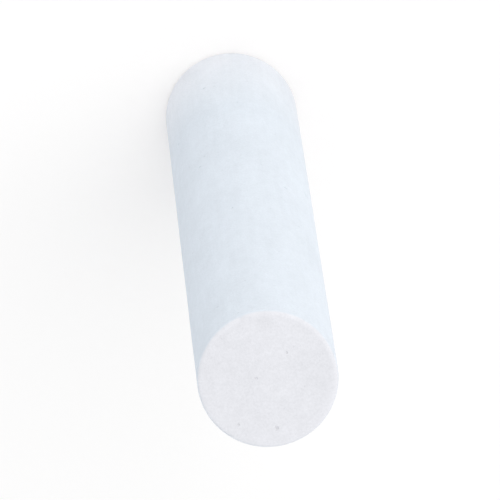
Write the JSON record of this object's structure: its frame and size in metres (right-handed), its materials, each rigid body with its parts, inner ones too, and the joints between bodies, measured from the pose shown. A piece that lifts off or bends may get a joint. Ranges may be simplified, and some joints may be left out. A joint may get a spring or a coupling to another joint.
{
  "type": "chalk stick",
  "caption": "Plain white round chalk stick for writing on a board, cast in one piece, with a slight draft from a wide scraped end to a narrow moulded end.",
  "frame": {"origin": "centre of the wide scraped end, on the surface that the stick stands on", "axes": "+Z along the stick's axis, from the wide scraped end up to the narrow moulded end; X and Y are alike, because the stick is round"},
  "size_m": [0.01, 0.01, 0.08],
  "materials": {
    "chalk": "matte"
  },
  "bodies": {
    "root": {"chalk_stick": "chalk"}
  },
  "joints": []
}
